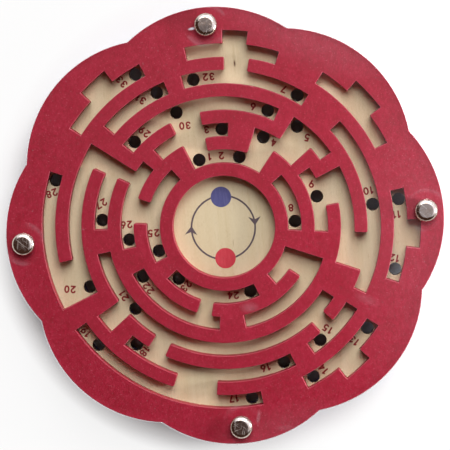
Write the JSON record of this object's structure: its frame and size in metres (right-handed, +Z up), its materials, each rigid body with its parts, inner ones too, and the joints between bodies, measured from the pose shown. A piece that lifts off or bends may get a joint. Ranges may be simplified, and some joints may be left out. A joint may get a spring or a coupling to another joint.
{
  "type": "double-sided ball maze puzzle",
  "caption": "Round scalloped dexterity puzzle: stained maze plates with concentric ball channels on a drilled board, clear covers, binding posts and a loose steel ball.",
  "frame": {"origin": "centre of the disc, on the surface that the four rear screw heads rest on", "axes": "+Z up out of the red front, +Y towards the top of the upright numbers, +X to their right; the four posts stand on the X and Y axes"},
  "size_m": [0.2, 0.2, 0.025],
  "materials": {
    "clear_acrylic": "clear polished sheet",
    "red_stained_wood": "satin stain on plywood",
    "blue_stained_wood": "satin stain on plywood",
    "bare_plywood": "sanded, unfinished",
    "nickel": "polished, lightly scratched",
    "ball_steel": "polished bearing ball"
  },
  "bodies": {
    "case": {"front_cover": "clear_acrylic", "front_maze": "red_stained_wood", "centre_board": "bare_plywood", "rear_maze": "blue_stained_wood", "rear_cover": "clear_acrylic", "binding_post_1": "nickel", "binding_post_2": "nickel", "binding_post_3": "nickel", "binding_post_4": "nickel", "binding_screw_1": "nickel", "binding_screw_2": "nickel", "binding_screw_3": "nickel", "binding_screw_4": "nickel"},
    "ball": {"ball": "ball_steel"}
  },
  "joints": [
    {"name": "ball_roll", "type": "hinge", "parent": "case", "child": "ball", "pos_m": [0, 0, 0.0072], "axis": [0, 0, 1], "range_deg": [-31, 31]}
  ]
}
